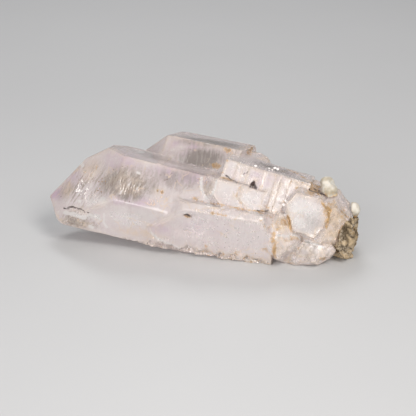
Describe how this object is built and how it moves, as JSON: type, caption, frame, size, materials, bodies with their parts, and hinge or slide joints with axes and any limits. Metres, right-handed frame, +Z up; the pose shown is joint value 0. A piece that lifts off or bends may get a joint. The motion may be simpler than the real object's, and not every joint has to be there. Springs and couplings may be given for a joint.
{
  "type": "amethyst crystal cluster",
  "caption": "Pale amethyst cluster: six-sided quartz points grown together side by side, pointed at one end and broken at the other, where brown rock crust and white grains cling.",
  "frame": {"origin": "under the middle of the cluster's bounding box, on the surface that it rests on", "axes": "+X runs from the crystal points to the broken base, +Y to the back of the pictured view, +Z up"},
  "size_m": [0.0496, 0.0234, 0.0153],
  "materials": {
    "quartz": "clear to milky, pale lilac, with iron stain in the seams",
    "rock": "rough earthy brown crust",
    "white_mineral": "satin white"
  },
  "bodies": {
    "root": {"crystals": "quartz", "matrix": "rock", "white_nub": "white_mineral", "white_bead": "white_mineral"}
  },
  "joints": []
}
